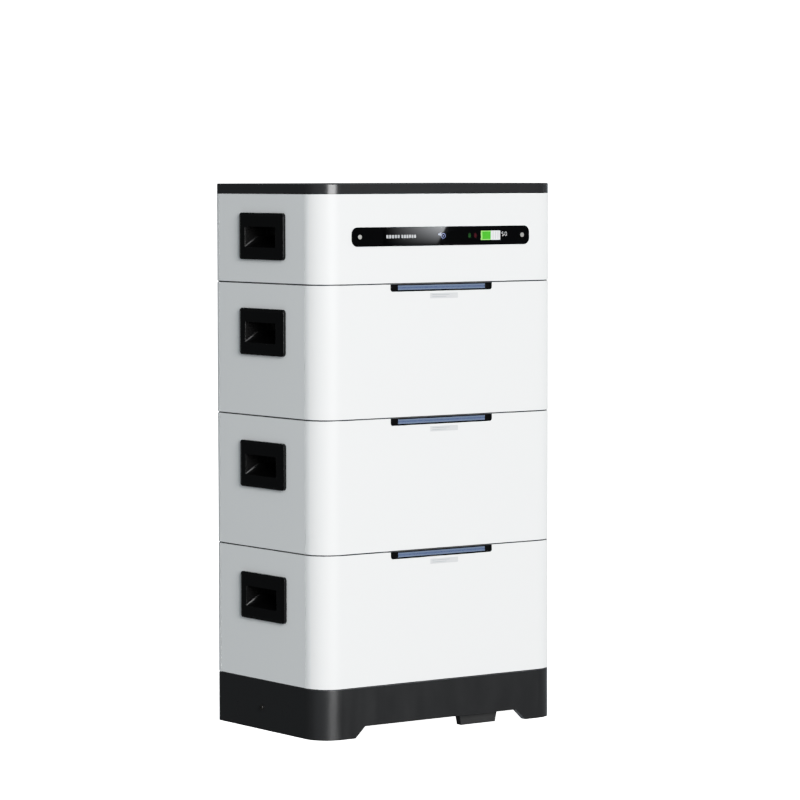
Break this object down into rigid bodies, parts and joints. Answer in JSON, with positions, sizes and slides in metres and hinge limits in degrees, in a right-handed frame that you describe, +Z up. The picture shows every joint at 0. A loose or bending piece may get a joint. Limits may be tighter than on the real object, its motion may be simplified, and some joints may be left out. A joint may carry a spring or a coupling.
{
  "type": "wall battery unit",
  "caption": "Free-standing stack of lift-off battery modules on a plinth, with a control module, lid, side grips, light bars, display bar and wall straps.",
  "frame": {"origin": "centre of the floor area that the unit takes up, wall straps included, at floor level", "axes": "+X to the right of someone facing the display, +Y towards the wall, +Z up"},
  "size_m": [0.616, 0.4184, 1.109],
  "materials": {
    "white_paint": "satin powder coat",
    "black_paint": "satin powder coat",
    "tray_metal": "matte black anodised",
    "deck_metal": "matte cast",
    "handle_plastic": "gloss",
    "bezel_plastic": "satin",
    "lens_plastic": "satin translucent",
    "circuit_board": "satin",
    "cell_case": "satin film",
    "busbar_metal": "brushed",
    "connector_plastic": "matte",
    "screw_steel": "brushed",
    "display_glass": "gloss",
    "display_screw_steel": "brushed",
    "breaker_plastic": "matte",
    "bracket_steel": "brushed",
    "lid_plastic": "satin",
    "lever_plastic": "satin",
    "flap_plastic": "clear",
    "button_plastic": "satin"
  },
  "bodies": {
    "base": {"base_plinth": "black_paint", "base_support_frame": "black_paint", "base_socket": "connector_plastic", "base_screws": "screw_steel"},
    "battery_1": {"battery_1_shell": "white_paint", "battery_1_rear_panel": "white_paint", "battery_1_bottom_tray": "tray_metal", "battery_1_top_deck": "deck_metal", "battery_1_handles": "handle_plastic", "battery_1_light_bezel": "bezel_plastic", "battery_1_light_lens": "lens_plastic", "battery_1_led_board": "circuit_board", "battery_1_cells": "cell_case", "battery_1_busbars": "busbar_metal", "battery_1_bms_board": "circuit_board", "battery_1_stack_connectors": "connector_plastic", "battery_1_screws": "screw_steel"},
    "battery_2": {"battery_2_shell": "white_paint", "battery_2_rear_panel": "white_paint", "battery_2_bottom_tray": "tray_metal", "battery_2_top_deck": "deck_metal", "battery_2_handles": "handle_plastic", "battery_2_light_bezel": "bezel_plastic", "battery_2_light_lens": "lens_plastic", "battery_2_led_board": "circuit_board", "battery_2_cells": "cell_case", "battery_2_busbars": "busbar_metal", "battery_2_bms_board": "circuit_board", "battery_2_stack_connectors": "connector_plastic", "battery_2_screws": "screw_steel"},
    "battery_3": {"battery_3_shell": "white_paint", "battery_3_rear_panel": "white_paint", "battery_3_bottom_tray": "tray_metal", "battery_3_top_deck": "deck_metal", "battery_3_handles": "handle_plastic", "battery_3_light_bezel": "bezel_plastic", "battery_3_light_lens": "lens_plastic", "battery_3_led_board": "circuit_board", "battery_3_cells": "cell_case", "battery_3_busbars": "busbar_metal", "battery_3_bms_board": "circuit_board", "battery_3_stack_connectors": "connector_plastic", "battery_3_screws": "screw_steel"},
    "control": {"control_shell": "white_paint", "control_rear_panel": "white_paint", "control_bottom_tray": "tray_metal", "control_handles": "handle_plastic", "display_window": "display_glass", "display_screws": "display_screw_steel", "display_board": "circuit_board", "power_board": "circuit_board", "breaker_housing": "breaker_plastic", "control_stack_plug": "connector_plastic", "port_block": "connector_plastic", "control_screws": "screw_steel", "wall_brackets": "bracket_steel"},
    "lid": {"lid_cap": "lid_plastic"},
    "breaker_lever": {"breaker_lever": "lever_plastic"},
    "service_flap": {"service_flap": "flap_plastic"},
    "power_button": {"power_button": "button_plastic"}
  },
  "joints": [
    {"name": "battery_1_lift", "type": "slide", "parent": "base", "child": "battery_1", "axis": [0, 0, 1], "range_m": [0, 0.06]},
    {"name": "battery_2_lift", "type": "slide", "parent": "battery_1", "child": "battery_2", "axis": [0, 0, 1], "range_m": [0, 0.06]},
    {"name": "battery_3_lift", "type": "slide", "parent": "battery_2", "child": "battery_3", "axis": [0, 0, 1], "range_m": [0, 0.06]},
    {"name": "control_lift", "type": "slide", "parent": "battery_3", "child": "control", "axis": [0, 0, 1], "range_m": [0, 0.06]},
    {"name": "lid_lift", "type": "slide", "parent": "control", "child": "lid", "axis": [0, 0, 1], "range_m": [0, 0.04]},
    {"name": "breaker_toggle", "type": "hinge", "parent": "control", "child": "breaker_lever", "pos_m": [0.287, 0.1192, 1.003], "axis": [0, 1, 0], "range_deg": [0, 76]},
    {"name": "flap_hinge", "type": "hinge", "parent": "control", "child": "service_flap", "pos_m": [0.3044, 0.1442, 1.003], "axis": [0, 0, 1], "range_deg": [0, 110]},
    {"name": "button_press", "type": "slide", "parent": "control", "child": "power_button", "axis": [-1, 0, 0], "range_m": [0, 0.002], "stiffness_N_per_m": 900}
  ]
}
